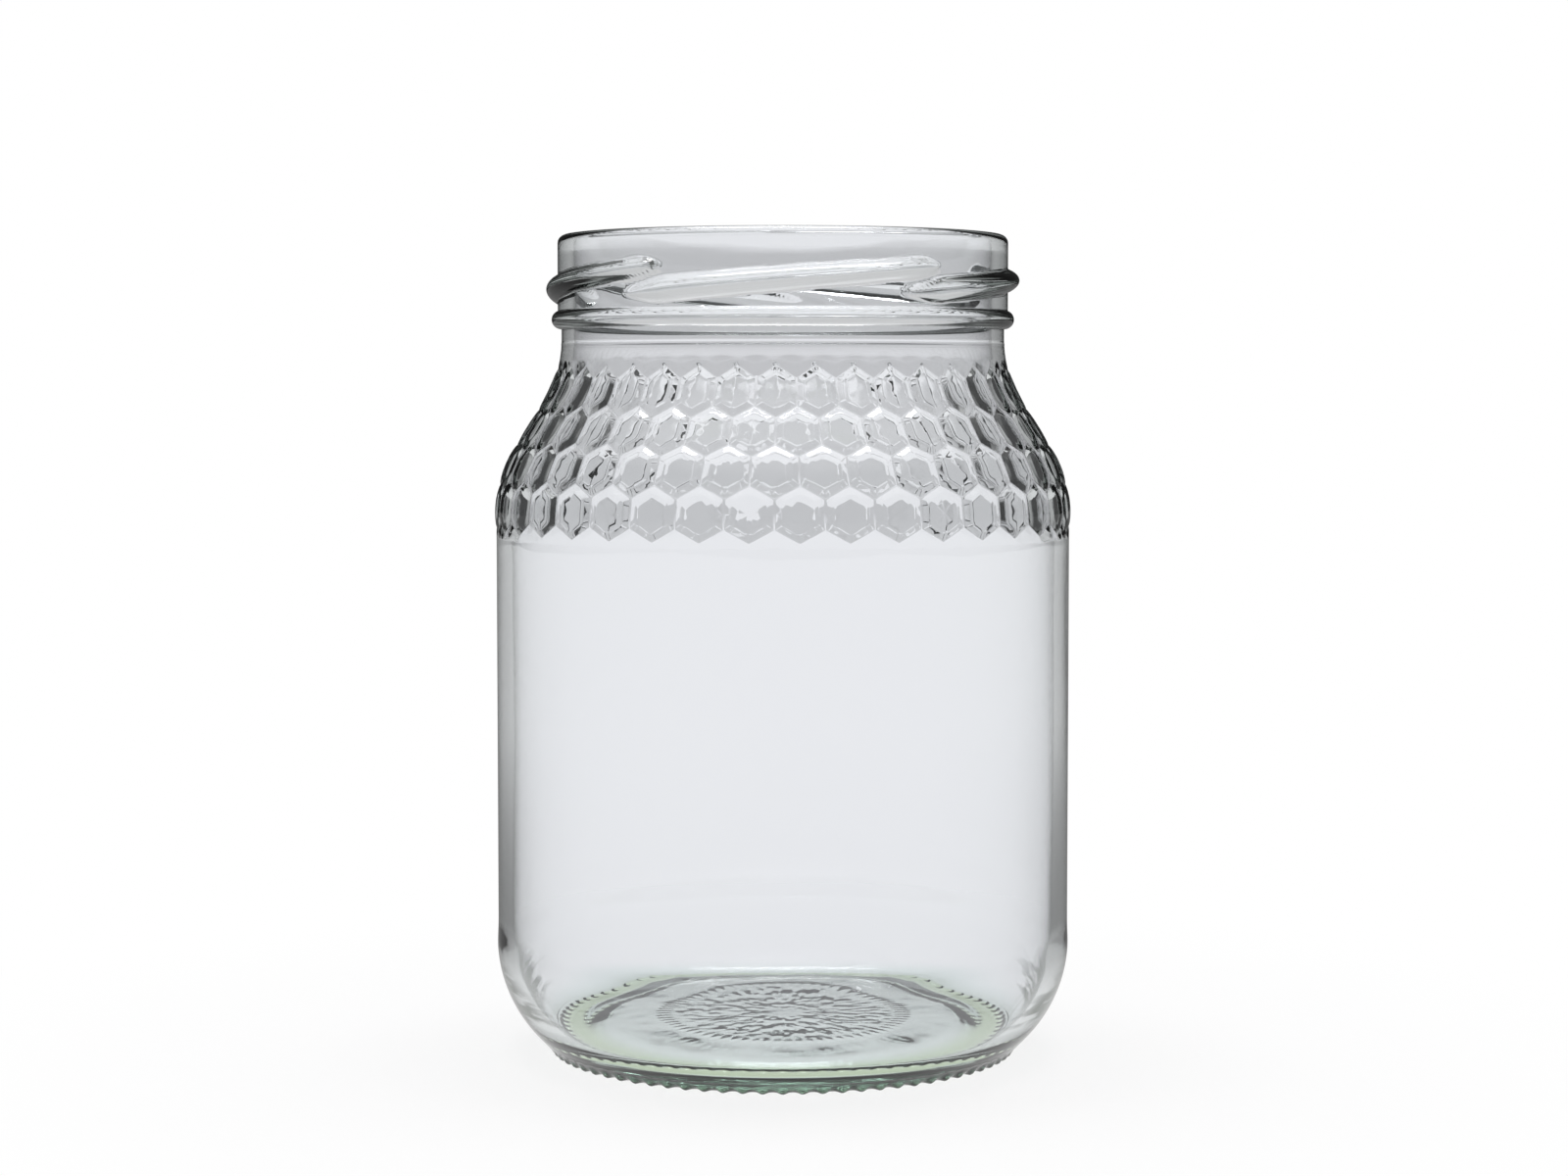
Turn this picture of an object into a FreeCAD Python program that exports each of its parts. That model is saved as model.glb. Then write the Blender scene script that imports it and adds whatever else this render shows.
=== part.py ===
import FreeCAD, Part
import math
import os

# Glass honey jar, blown in one piece: an open twist-off mouth, a honeycomb shoulder,
# a recessed label panel, a rounded heel and a domed base on a knurled bearing ring.
# All sizes in millimetres. +Z up, origin on the axis at the level the jar stands on.

# Overall
jar_height = 132.5
body_diameter = 93.2         # over the heel band, the widest plain part
finish_diameter = 72.8       # plain cylinder of the mouth, inside the lid

# Walls
finish_wall = 2.6            # at the mouth
body_wall = 2.4
base_wall = 3.4              # at the centre of the base

# Lip and neck, measured down from the top of the lip
lip_outer_corner = 1.3
lip_inner_corner = 1.0
bead_depth = 12.2
bead_height = 2.9
bead_proud = 1.0
neck_relief = 0.6            # the neck under the bead is set in from the finish
neck_length = 1.4            # straight neck between the bead and the shoulder

# Interrupted thread
thread_starts = 5
thread_gap = 0.05            # between the low end of a lead and the bead
thread_pitch = 18.4          # rise in a full turn
thread_span = 82.4           # degrees round the jar that one lead covers
thread_from = -41.7          # degrees from the front where the first lead starts
thread_width = 4.0
thread_proud = 1.85
thread_flank = 1.4           # height of the straight flanks, under the rounded crest
thread_crest = 1.6           # width of the crest
thread_point = 12.0          # degrees over which the low end runs out to a point
thread_taper = 0.28          # share of its width that a lead loses towards its high end
thread_nose = 5.0            # degrees over which the blunt high end rounds off
thread_tip = 0.12            # share of the full ridge left at either end
thread_root = 0.8            # reach into the wall
thread_stations = 17

# Shoulder
shoulder_height = 29.0
shoulder_flat = 8.3          # straight slope between the two bends
shoulder_upper_share = 0.483 # of the bending radius, in the hollow bend under the neck

# Honeycomb
comb_rows = 4
comb_columns = 38
comb_drop = 8.9              # centre of the top row, down the slope
comb_pitch = 6.81            # from row to row, down the slope
comb_tip = 2.1               # how far the tips of one row reach in between the next
comb_groove = 0.15           # between the feet of two pads
comb_proud = 0.32
comb_bevel = 0.9
comb_foot = 0.35             # the bevel ends this far under the skin of the shoulder
comb_root = 0.9              # reach into the wall
comb_turn = -1.55            # degrees from the front to the nearest pad of the top row

# Label panel and heel
label_recess = 0.17
label_step = 1.6             # height over which the panel steps in
heel_radius = 22.0
heel_height = 18.5           # top of the heel bend
heel_inner_radius = 9.8

# Base
ring_width = 4.0             # of the bearing ring, between the heel and the dome
ring_corner = 1.2
dome_foot_run = 4.5          # from the bearing ring to the foot of the dome
dome_foot_rise = 0.95
dome_rise = 0.7              # from its foot to its centre
floor_rise = 0.8             # of the inside floor, from its edge to its centre
mark_margin = 7.7            # round the plain sunk disc in the middle of the underside
mark_depth = 0.3

# Knurls of the bearing ring
knurl_count = 76
knurl_proud = 0.45
knurl_width = 1.35
knurl_crest = 0.6
knurl_root = 0.6             # reach into the glass
knurl_inset = 0.6             # from both edges of the ring

# Dependent sizes
body_radius = body_diameter / 2
panel_radius = body_radius - label_recess
cavity_radius = panel_radius - body_wall
finish_radius = finish_diameter / 2
bore_radius = finish_radius - finish_wall
neck_radius = finish_radius - neck_relief
bead_radius = finish_radius + bead_proud
bead_top = jar_height - bead_depth
bead_bottom = bead_top - bead_height
bead_middle = (bead_top + bead_bottom) / 2
neck_bottom = bead_bottom - neck_length
thread_start = bead_top + thread_gap + thread_width / 2
heel_centre_radius = body_radius - heel_radius
ring_height = knurl_proud
ring_outer_radius = heel_centre_radius + math.sqrt(heel_radius ** 2 - (heel_height - ring_height) ** 2)
ring_inner_radius = ring_outer_radius - ring_width
dome_foot_radius = ring_inner_radius - dome_foot_run
dome_foot_height = ring_height + dome_foot_rise
dome_height = dome_foot_height + dome_rise
floor_height = dome_height + base_wall
floor_edge_radius = cavity_radius - heel_inner_radius
floor_edge_height = floor_height - floor_rise
mark_radius = dome_foot_radius - mark_margin


def in_section(radius, height):
    """A point of the jar's half section."""
    return FreeCAD.Vector(radius, 0, height)


def around(degrees, radius, height):
    """A point of the jar, at an angle from the front towards the right."""
    turn = math.radians(degrees)
    return FreeCAD.Vector(radius * math.sin(turn), -radius * math.cos(turn), height)


def line(start, end):
    return Part.makeLine(in_section(*start), in_section(*end))


def bend(start, middle, end):
    return Part.Arc(in_section(*start), in_section(*middle), in_section(*end)).toShape()


def shallow_arc(start, crown_height):
    """An arc from a point to the axis, which it meets level."""
    radius, height = start
    rise = crown_height - height
    sphere = (radius ** 2 + rise ** 2) / (2 * rise)
    half = radius / 2
    middle = crown_height - sphere + math.sqrt(sphere ** 2 - half ** 2)
    return bend(start, (half, middle), (0, crown_height))


class Shoulder:
    """A hollow bend, a straight slope and a full bend, tangent to each other and to both walls."""

    def __init__(self, top_radius, bottom_radius, top, height, flat):
        spread = bottom_radius - top_radius
        bends = (spread ** 2 + height ** 2 - flat ** 2) / (2 * spread)
        self.tilt = math.atan2(height, bends - spread) - math.atan2(flat, bends)
        self.upper = bends * shoulder_upper_share
        self.lower = bends - self.upper
        self.top_radius = top_radius
        self.bottom_radius = bottom_radius
        self.top = top
        self.bottom = top - height
        self.slope_start = self.upper * self.tilt
        self.slope_end = self.slope_start + flat
        self.length = self.slope_end + self.lower * self.tilt

    def at(self, run):
        """Radius and height of the surface at a distance down the slope."""
        if run > self.length:
            return self.bottom_radius, self.bottom + self.length - run
        if run > self.slope_end:
            turn = (self.length - run) / self.lower
            radius = self.bottom_radius - self.lower * (1 - math.cos(turn))
            return radius, self.bottom + self.lower * math.sin(turn)
        turn = min(run, self.slope_start) / self.upper
        past = max(run - self.slope_start, 0)
        radius = self.top_radius + self.upper * (1 - math.cos(turn)) + past * math.sin(self.tilt)
        return radius, self.top - self.upper * math.sin(turn) - past * math.cos(self.tilt)

    def edges(self):
        """The section from the neck down to the body."""
        upper_middle = self.slope_start / 2
        lower_middle = (self.slope_end + self.length) / 2
        return [
            bend(self.at(0), self.at(upper_middle), self.at(self.slope_start)),
            line(self.at(self.slope_start), self.at(self.slope_end)),
            bend(self.at(self.slope_end), self.at(lower_middle), self.at(self.length)),
        ]


def outer_shoulder():
    return Shoulder(neck_radius, panel_radius, neck_bottom, shoulder_height, shoulder_flat)


def inner_shoulder():
    """Set lower than the outside, so that the slope keeps the thickness of the body."""
    drop = body_wall * math.tan(outer_shoulder().tilt / 2)
    return Shoulder(bore_radius, cavity_radius, neck_bottom - drop, shoulder_height, shoulder_flat)


def quarter_bend(centre_radius, centre_height, radius, start, end):
    """An arc about a centre of the section, between two angles from the horizontal."""

    def point(angle):
        turn = math.radians(angle)
        return centre_radius + radius * math.cos(turn), centre_height + radius * math.sin(turn)

    return bend(point(start), point((start + end) / 2), point(end))


def outer_edges():
    """From the lip down the outside to the bearing ring."""
    shoulder = outer_shoulder()
    heel_end = -math.degrees(math.asin((heel_height - ring_height) / heel_radius))
    return [
        line((bore_radius, jar_height), (finish_radius, jar_height)),
        line((finish_radius, jar_height), (finish_radius, bead_top)),
        bend((finish_radius, bead_top), (bead_radius, bead_middle), (neck_radius, bead_bottom)),
        line((neck_radius, bead_bottom), (neck_radius, neck_bottom)),
        *shoulder.edges(),
        line((panel_radius, shoulder.bottom), (panel_radius, heel_height + label_step)),
        line((panel_radius, heel_height + label_step), (body_radius, heel_height)),
        quarter_bend(heel_centre_radius, heel_height, heel_radius, 0, heel_end),
    ]


def underside_edges():
    """From the bearing ring in to the axis."""
    return [
        line((ring_outer_radius, ring_height), (ring_inner_radius, ring_height)),
        line((ring_inner_radius, ring_height), (dome_foot_radius, dome_foot_height)),
        shallow_arc((dome_foot_radius, dome_foot_height), dome_height),
    ]


def inner_edges():
    """From the axis over the floor and up the inside to the lip."""
    shoulder = inner_shoulder()
    wall_start = floor_edge_height + heel_inner_radius
    return [
        line((0, dome_height), (0, floor_height)),
        shallow_arc((floor_edge_radius, floor_edge_height), floor_height),
        quarter_bend(floor_edge_radius, wall_start, heel_inner_radius, -90, 0),
        line((cavity_radius, wall_start), (cavity_radius, shoulder.bottom)),
        *shoulder.edges(),
        line((bore_radius, shoulder.top), (bore_radius, jar_height)),
    ]


def ring_edges(shape, radius, height):
    """The circular edges of a shape at a radius and a height."""
    found = []
    for edge in shape.Edges:
        point = edge.Vertexes[0].Point
        level = abs(edge.BoundBox.ZMax - edge.BoundBox.ZMin) < 0.001
        same_height = abs(point.z - height) < 0.001
        same_radius = abs(math.hypot(point.x, point.y) - radius) < 0.001
        if level and same_height and same_radius:
            found.append(edge)
    return found


def rounded(shape, corners):
    """Rings of a revolved shape rounded, each given as radius, height and rounding."""
    for radius, height, rounding in corners:
        shape = shape.makeFillet(rounding, ring_edges(shape, radius, height))
    return shape


def make_shell():
    """The plain jar: its half section turned about the axis, with the corners rounded."""
    edges = outer_edges() + underside_edges() + inner_edges()
    section = Part.Wire(Part.__sortEdges__(edges))
    turned = Part.Face(section).revolve(FreeCAD.Vector(), FreeCAD.Vector(0, 0, 1), 360)
    corners = [
        (finish_radius, jar_height, lip_outer_corner),
        (bore_radius, jar_height, lip_inner_corner),
        (ring_outer_radius, ring_height, ring_corner),
        (ring_inner_radius, ring_height, ring_corner),
    ]
    return rounded(turned, corners)


def make_mark():
    """The disc taken out of the middle of the underside."""
    deep = dome_height + mark_depth
    return Part.makeCylinder(mark_radius, deep)


def inset(outline, width):
    """A closed outline drawn in by a width, each side staying parallel to itself."""
    drawn = []
    for here, (u, v) in enumerate(outline):
        before = outline[here - 1]
        after = outline[(here + 1) % len(outline)]
        come = math.atan2(v - before[1], u - before[0])
        go = math.atan2(after[1] - v, after[0] - u)
        halfway = (go - come + math.pi) % (2 * math.pi) - math.pi
        middle = come + halfway / 2 + math.pi / 2
        reach = width / math.cos(halfway / 2)
        drawn.append((u + reach * math.cos(middle), v + reach * math.sin(middle)))
    return drawn


def loop_solid(loops):
    """A closed solid through loops of points, each with as many points as the next."""
    faces = [Part.Face(Part.makePolygon(loop + loop[:1])) for loop in (loops[0], loops[-1])]
    for lower, upper in zip(loops, loops[1:]):
        for here in range(len(lower)):
            after = (here + 1) % len(lower)
            corners = [lower[here], lower[after], upper[after], upper[here]]
            faces.append(Part.Face(Part.makePolygon(corners + corners[:1])))
    solid = Part.Solid(Part.Shell(faces))
    if solid.Volume < 0:
        solid.reverse()
    return solid


def make_pad(shoulder, run, degrees):
    """One flat six-sided pad with a bevelled rim, lying on the shoulder."""
    flank = (comb_pitch - comb_tip) / 2
    tip = (comb_pitch + comb_tip) / 2
    top_radius, top = shoulder.at(run - flank)
    low_radius, low = shoulder.at(run + flank)
    tilt = math.atan2(low_radius - top_radius, top - low)
    centre = around(degrees, (top_radius + low_radius) / 2, (top + low) / 2)
    outward = around(degrees, math.cos(tilt), math.sin(tilt))
    down = around(degrees, math.sin(tilt), -math.cos(tilt))
    across = down.cross(outward)
    top_half = top_radius * math.sin(math.pi / comb_columns)
    low_half = low_radius * math.sin(math.pi / comb_columns)
    cell = [
        (0, -tip),
        (top_half, -flank),
        (low_half, flank),
        (0, tip),
        (-low_half, flank),
        (-top_half, -flank),
    ]
    foot = inset(cell, comb_groove / 2)
    face = inset(foot, comb_bevel)

    def loop(outline, height):
        return [centre + across * u + down * v + outward * height for u, v in outline]

    return loop_solid([loop(foot, -comb_root), loop(foot, -comb_foot), loop(face, comb_proud)])


def make_honeycomb():
    """Rows of pads round the shoulder, each row half a step on from the last."""
    shoulder = outer_shoulder()
    step = 360 / comb_columns
    pads = []
    for row in range(comb_rows):
        run = comb_drop + row * comb_pitch
        offset = comb_turn + (row % 2) * step / 2
        for column in range(comb_columns):
            pads.append(make_pad(shoulder, run, offset + column * step))
    return pads


def lead_size(turned):
    """Width and height of a lead as shares of the full ridge, at an angle past its low end."""
    point = min(turned / thread_point, 1)
    point = math.sin(point * math.pi / 2)
    into_nose = max(turned - thread_span + thread_nose, 0) / thread_nose
    nose = math.sqrt(1 - into_nose ** 2)
    taper = 1 - thread_taper * (turned / thread_span) ** 2
    full = thread_tip + (1 - thread_tip) * point * nose
    return taper * full, full


def thread_section(degrees, height, wide, proud):
    """The ridge at one angle: straight flanks, a rounded crest and a root inside the wall."""
    half = thread_width / 2 * wide
    crest_half = thread_crest / 2 * wide
    flank_radius = finish_radius + thread_flank * proud
    crest_radius = finish_radius + thread_proud * proud
    root_radius = finish_radius - thread_root
    low = around(degrees, finish_radius, height - half)
    crest_low = around(degrees, flank_radius, height - crest_half)
    crest = around(degrees, crest_radius, height)
    crest_high = around(degrees, flank_radius, height + crest_half)
    high = around(degrees, finish_radius, height + half)
    root_high = around(degrees, root_radius, height + half)
    root_low = around(degrees, root_radius, height - half)
    rounding = Part.Arc(crest_low, crest, crest_high).toShape()
    lower = [Part.makeLine(root_low, low), Part.makeLine(low, crest_low)]
    upper = [Part.makeLine(crest_high, high), Part.makeLine(high, root_high)]
    return Part.Wire([*lower, rounding, *upper, Part.makeLine(root_high, root_low)])


def make_thread():
    """Leads that rise to the right, each starting under the high end of its neighbour."""
    leads = []
    for start in range(thread_starts):
        first = thread_from + start * 360 / thread_starts
        sections = []
        for station in range(thread_stations):
            share = (1 - math.cos(math.pi * station / (thread_stations - 1))) / 2
            turned = thread_span * share
            height = thread_start + thread_pitch * turned / 360
            sections.append(thread_section(first + turned, height, *lead_size(turned)))
        leads.append(Part.makeLoft(sections, True, True))
    return leads


def make_knurls():
    """Short bars across the bearing ring, which the jar stands on."""
    start = ring_inner_radius + knurl_inset
    end = ring_outer_radius - knurl_inset
    knurls = []
    for place in range(knurl_count):
        degrees = place * 360 / knurl_count
        outward = around(degrees, 1, 0)
        across = outward.cross(FreeCAD.Vector(0, 0, 1))

        def loop(width, height):
            half = across * (width / 2)
            level = FreeCAD.Vector(0, 0, height)
            near = outward * start + level
            far = outward * end + level
            return [near - half, near + half, far + half, far - half]

        loops = [loop(knurl_width, ring_height + knurl_root), loop(knurl_width, ring_height), loop(knurl_crest, 0)]
        knurls.append(loop_solid(loops))
    return knurls


def make_jar():
    shell = make_shell().cut(make_mark())
    return shell.multiFuse(make_honeycomb() + make_thread() + make_knurls())


os.makedirs("parts", exist_ok=True)
jar = make_jar()
jar.exportStep("parts/jar.step")
print("jar", jar.isValid(), len(jar.Solids), "solid", round(jar.Volume / 1000, 1), "ml of glass")
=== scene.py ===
import math
import bpy
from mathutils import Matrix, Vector, noise


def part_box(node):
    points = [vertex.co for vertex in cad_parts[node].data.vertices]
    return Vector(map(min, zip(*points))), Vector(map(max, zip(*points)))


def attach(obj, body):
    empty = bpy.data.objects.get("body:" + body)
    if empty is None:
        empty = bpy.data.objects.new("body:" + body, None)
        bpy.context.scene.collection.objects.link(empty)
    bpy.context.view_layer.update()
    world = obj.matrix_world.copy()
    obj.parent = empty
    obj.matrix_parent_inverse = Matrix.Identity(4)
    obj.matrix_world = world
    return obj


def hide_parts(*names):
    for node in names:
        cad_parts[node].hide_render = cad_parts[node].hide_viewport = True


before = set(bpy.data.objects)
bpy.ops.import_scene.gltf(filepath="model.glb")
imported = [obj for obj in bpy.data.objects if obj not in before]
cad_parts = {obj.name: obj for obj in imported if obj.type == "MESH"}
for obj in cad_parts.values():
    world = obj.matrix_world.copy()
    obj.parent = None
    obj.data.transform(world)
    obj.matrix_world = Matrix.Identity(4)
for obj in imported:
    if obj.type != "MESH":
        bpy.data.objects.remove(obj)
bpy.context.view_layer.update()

jarLow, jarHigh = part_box("jar")

# The jar is drawn in millimetres up from the level it stands on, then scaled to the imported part
jarShape = {
    "height": 132.5,
    "panelRadius": 46.43,      # the label panel, a little recessed
    "finishRadius": 36.4,      # plain cylinder of the mouth
    "neckRadius": 35.8,
    "boreRadius": 33.8,
    "cavityRadius": 44.03,
    "neckTop": 117.4,
    "neckBottom": 116.0,
    "lipOuterCorner": 1.3,
    "lipInnerCorner": 1.0,
    "lipOuterCuts": 6,
    "lipInnerCuts": 5,
}
metre = (jarHigh.z - jarLow.z) / jarShape["height"]   # one millimetre of the jar, in metres

combShape = {
    "rows": 4,
    "columns": 38,
    "drop": 8.9,               # down the slope to the middle of the first row
    "pitch": 6.81,             # from row to row
    "tip": 2.1,                # reach of the tips in between the next row
    "turn": -1.55,             # degrees from the front to the nearest cell of the first row
    "proud": 0.3,
    "flatness": 0.1,           # 1 is a flat face, 0 a face as round as the jar
    "groove": 0.21,            # how far the grooves sink below the plain skin
    "cuts": 4,                 # pieces of each edge
    # how far in from the groove, and the share of the full height there
    "section": [(0.12, 0.0), (0.25, 0.07), (0.9, 0.64), (1.08, 0.73), (1.7, 0.87), (2.4, 0.96)],
    "roundFrom": 0.8,          # this far in, the corners of the cell are rounded
    "plainAbove": 3.6,         # down the slope to the last plain ring over the cells
    "plainBelow": 0.9,         # from the last tips to the first plain ring under them
}
combStep = 360 / combShape["columns"]
columns = combShape["columns"] * combShape["cuts"] * 2   # points in one ring of the outside

jarPoints = []
jarFaces = []


def addPoint(degrees, radius, height):
    turn = math.radians(degrees)
    jarPoints.append((radius * math.sin(turn), -radius * math.cos(turn), height))
    return len(jarPoints) - 1


def columnAngle(column, count):
    return combShape["turn"] - combStep / 2 + column * 360 / count


def addRing(count, place):
    ring = []
    for column in range(count):
        degrees = columnAngle(column, count)
        ring.append(addPoint(degrees, *place(degrees)))
    return ring


def joinRings(first, second):   # a ring may have twice the points of its neighbour
    few = min(len(first), len(second))
    firstEach, secondEach = len(first) // few, len(second) // few
    for column in range(few):
        face = [first[column * firstEach]]
        for step in range(secondEach + 1):
            face.append(second[(column * secondEach + step) % len(second)])
        for step in range(firstEach, 0, -1):
            face.append(first[(column * firstEach + step) % len(first)])
        jarFaces.append(face)


def addRings(rings, count, last, shape=None):   # rows of radius and height, carried on from the last ring
    for radius, height in rings:
        def place(degrees):
            return shape(degrees, radius, height) if shape else (radius, height)
        ring = addRing(count, place)
        if last:
            joinRings(last, ring)
        last = ring
    return last


def arcRows(centre, radius, start, end, steps):
    rows = []
    for step in range(steps + 1):
        turn = math.radians(start + (end - start) * step / steps)
        rows.append((centre[0] + radius * math.cos(turn), centre[1] + radius * math.sin(turn)))
    return rows


def arcThrough(start, middle, end, steps):
    (ax, ay), (bx, by), (cx, cy) = start, middle, end
    spread = 2 * (ax * (by - cy) + bx * (cy - ay) + cx * (ay - by))
    a, b, c = ax * ax + ay * ay, bx * bx + by * by, cx * cx + cy * cy
    centreX = (a * (by - cy) + b * (cy - ay) + c * (ay - by)) / spread
    centreY = (a * (cx - bx) + b * (ax - cx) + c * (bx - ax)) / spread
    first = math.degrees(math.atan2(ay - centreY, ax - centreX))
    last = math.degrees(math.atan2(cy - centreY, cx - centreX))
    return arcRows((centreX, centreY), math.hypot(ax - centreX, ay - centreY), first, last, steps)


def straightRows(start, end, steps):
    (r, z), (endR, endZ) = start, end
    return [(r + (endR - r) * step / steps, z + (endZ - z) * step / steps) for step in range(steps + 1)]


def softCorner(before, corner, after, reach, steps):   # a curve that cuts a corner of the section
    def towards(point):
        away = math.hypot(point[0] - corner[0], point[1] - corner[1])
        share = reach / away
        return corner[0] + (point[0] - corner[0]) * share, corner[1] + (point[1] - corner[1]) * share

    start, end = towards(before), towards(after)
    rows = []
    for step in range(steps + 1):
        t = step / steps
        rows.append(tuple((1 - t) ** 2 * start[i] + 2 * t * (1 - t) * corner[i] + t * t * end[i]
                          for i in (0, 1)))
    return rows


def evenRows(path, spacing):   # the same line with its points evenly spaced
    lengths = [0]
    for (r, z), (nextR, nextZ) in zip(path, path[1:]):
        lengths.append(lengths[-1] + math.hypot(nextR - r, nextZ - z))
    count = round(lengths[-1] / spacing)
    rows, piece = [], 0
    for step in range(count + 1):
        at = lengths[-1] * step / count
        while piece < len(path) - 2 and lengths[piece + 1] < at:
            piece += 1
        share = (at - lengths[piece]) / (lengths[piece + 1] - lengths[piece])
        here, after = path[piece], path[piece + 1]
        rows.append(tuple(here[i] + (after[i] - here[i]) * share for i in (0, 1)))
    return rows


easeGap = 0.5   # spacing of the points while a line is eased


def eased(path, spacing, times):   # blown glass has no sudden change of bend
    rows = evenRows(path, easeGap)
    for _ in range(times):
        between = [tuple((before[i] + 2 * here[i] + after[i]) / 4 for i in (0, 1))
                   for before, here, after in zip(rows, rows[1:], rows[2:])]
        rows = [rows[0]] + between + [rows[-1]]
    return evenRows(rows, spacing)


def smoothStep(value):
    value = min(max(value, 0), 1)
    return value * value * (3 - 2 * value)


# Shoulder: a hollow bend, a straight slope and a full bend, as seen in section
shoulderShape = {"height": 29.0, "flat": 8.3, "upperShare": 0.483, "innerDrop": 0.68}


def shoulderParts(topRadius, bottomRadius):
    high, flat = shoulderShape["height"], shoulderShape["flat"]
    spread = bottomRadius - topRadius
    bends = (spread ** 2 + high ** 2 - flat ** 2) / (2 * spread)
    tilt = math.atan2(high, bends - spread) - math.atan2(flat, bends)
    upper = bends * shoulderShape["upperShare"]
    return upper, bends - upper, tilt


def shoulderAt(run, topRadius, bottomRadius, top):   # radius, height and lean of the skin down the slope
    upper, lower, tilt = shoulderParts(topRadius, bottomRadius)
    slopeStart = upper * tilt
    slopeEnd = slopeStart + shoulderShape["flat"]
    length = slopeEnd + lower * tilt
    bottom = top - shoulderShape["height"]
    if run < 0:
        return topRadius, top - run, 0
    if run > length:
        return bottomRadius, bottom + length - run, 0
    if run > slopeEnd:
        turn = (length - run) / lower
        return bottomRadius - lower * (1 - math.cos(turn)), bottom + lower * math.sin(turn), turn
    turn = min(run, slopeStart) / upper
    past = max(run - slopeStart, 0)
    radius = topRadius + upper * (1 - math.cos(turn)) + past * math.sin(tilt)
    return radius, top - upper * math.sin(turn) - past * math.cos(tilt), turn


def outerSkin(run, proud=0):
    neck, panel = jarShape["neckRadius"], jarShape["panelRadius"]
    radius, height, lean = shoulderAt(run, neck, panel, jarShape["neckBottom"])
    return radius + proud * math.cos(lean), height + proud * math.sin(lean)


def shoulderLength(topRadius, bottomRadius):
    upper, lower, tilt = shoulderParts(topRadius, bottomRadius)
    return (upper + lower) * tilt + shoulderShape["flat"]


# Inside: the floor, the bend up from it, the wall, the shoulder and the bore
insideShape = {
    "floorHeight": 5.5,
    "floorEdge": 35.6,
    "floorEdgeHeight": 3.8,
    "bendCentre": (24.6, 18.5),   # the bend runs beside the heel outside
    "bendTop": 19.43,             # its radius at the wall, and where it meets the floor
    "bendFoot": 19.3,
    "bendTurn": 49.5,
    "wallFoot": 32,
    "easing": 20,
    "rowGap": 1.15,            # between the rings of the floor and the bend
    "columns": columns // 2,
}
insideSteps = {"floor": 11, "bend": 20, "wall": 9, "shoulder": 15, "bore": 5}
insideWaves = {                # the blown inside is never quite even
    "wave": 0.12,
    "waveRound": 1.7,          # how busy it is round the jar
    "waveLength": 55,          # and its length up the wall
    "ripple": 0.03,
    "rippleRound": 6,
    "rippleLength": 30,
    "evenBelow": 8,            # no waves below this height, and how slowly they begin
    "fadeBelow": 10,
    "evenAbove": 130.5,
    "fadeAbove": 4,
    "floorWave": 0.14,
    "floorWaveLength": 9,
    "floorRipple": 0.4,        # as a share of the floor's wave
    "floorRippleLength": 3.2,
    "floorFade": 5,
}


def unevenWall(degrees, radius, height):   # 5, 1 and 9 below only pick other parts of the noise
    waves = insideWaves
    turn = math.radians(degrees)
    x, y = math.sin(turn), -math.cos(turn)
    floorEdge = insideShape["floorEdge"]
    if radius < floorEdge:
        long, short = waves["floorWaveLength"], waves["floorRippleLength"]
        slow = noise.noise(Vector((x * radius / long, y * radius / long, 5.0)))
        quick = noise.noise(Vector((x * radius / short, y * radius / short, 1.0)))
        lift = slow + waves["floorRipple"] * quick
        fade = smoothStep((floorEdge - radius) / waves["floorFade"])
        return radius, height + waves["floorWave"] * lift * fade
    slow = noise.noise(Vector((x * waves["waveRound"], y * waves["waveRound"], height / waves["waveLength"])))
    busy = waves["rippleRound"]
    quick = noise.noise(Vector((x * busy + 9, y * busy, height / waves["rippleLength"])))
    fade = smoothStep((height - waves["evenBelow"]) / waves["fadeBelow"])
    fade *= smoothStep((waves["evenAbove"] - height) / waves["fadeAbove"])
    return radius + fade * (waves["wave"] * slow + waves["ripple"] * quick), height


def insideRows():
    shape, steps = insideShape, insideSteps
    drop = shape["floorHeight"] - shape["floorEdgeHeight"]
    path = []
    for step in range(steps["floor"] + 1):
        share = step / steps["floor"]
        path.append((shape["floorEdge"] * share, shape["floorHeight"] - drop * share ** 2))
    centreRadius, centreHeight = shape["bendCentre"]
    for step in range(steps["bend"], -1, -1):
        share = step / steps["bend"]
        turn = math.radians(shape["bendTurn"] * share)
        radius = shape["bendTop"] + (shape["bendFoot"] - shape["bendTop"]) * share
        path.append((centreRadius + radius * math.cos(turn), centreHeight - radius * math.sin(turn)))
    cavity, bore = jarShape["cavityRadius"], jarShape["boreRadius"]
    wallFoot = (cavity, shape["wallFoot"])
    path.append(wallFoot)
    rows = eased(path, shape["rowGap"], shape["easing"])[1:]
    top = jarShape["neckBottom"] - shoulderShape["innerDrop"]
    wallEnd = (cavity, top - shoulderShape["height"])
    rows += straightRows(wallFoot, wallEnd, steps["wall"])[1:-1]
    length = shoulderLength(bore, cavity)
    for step in range(steps["shoulder"], 0, -1):
        radius, height, lean = shoulderAt(length * step / steps["shoulder"], bore, cavity, top)
        rows.append((radius, height))
    lipFoot = jarShape["height"] - jarShape["lipInnerCorner"]
    rows += straightRows((bore, top), (bore, lipFoot), steps["bore"])
    return rows


floorMiddle = addPoint(0, 0, insideShape["floorHeight"])
firstRing = addRings(insideRows()[:1], insideShape["columns"], None)
for column, here in enumerate(firstRing):
    jarFaces.append([floorMiddle, here, firstRing[(column + 1) % len(firstRing)]])
inside = addRings(insideRows()[1:], insideShape["columns"], firstRing, unevenWall)
print("inside of the jar drawn")

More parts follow.
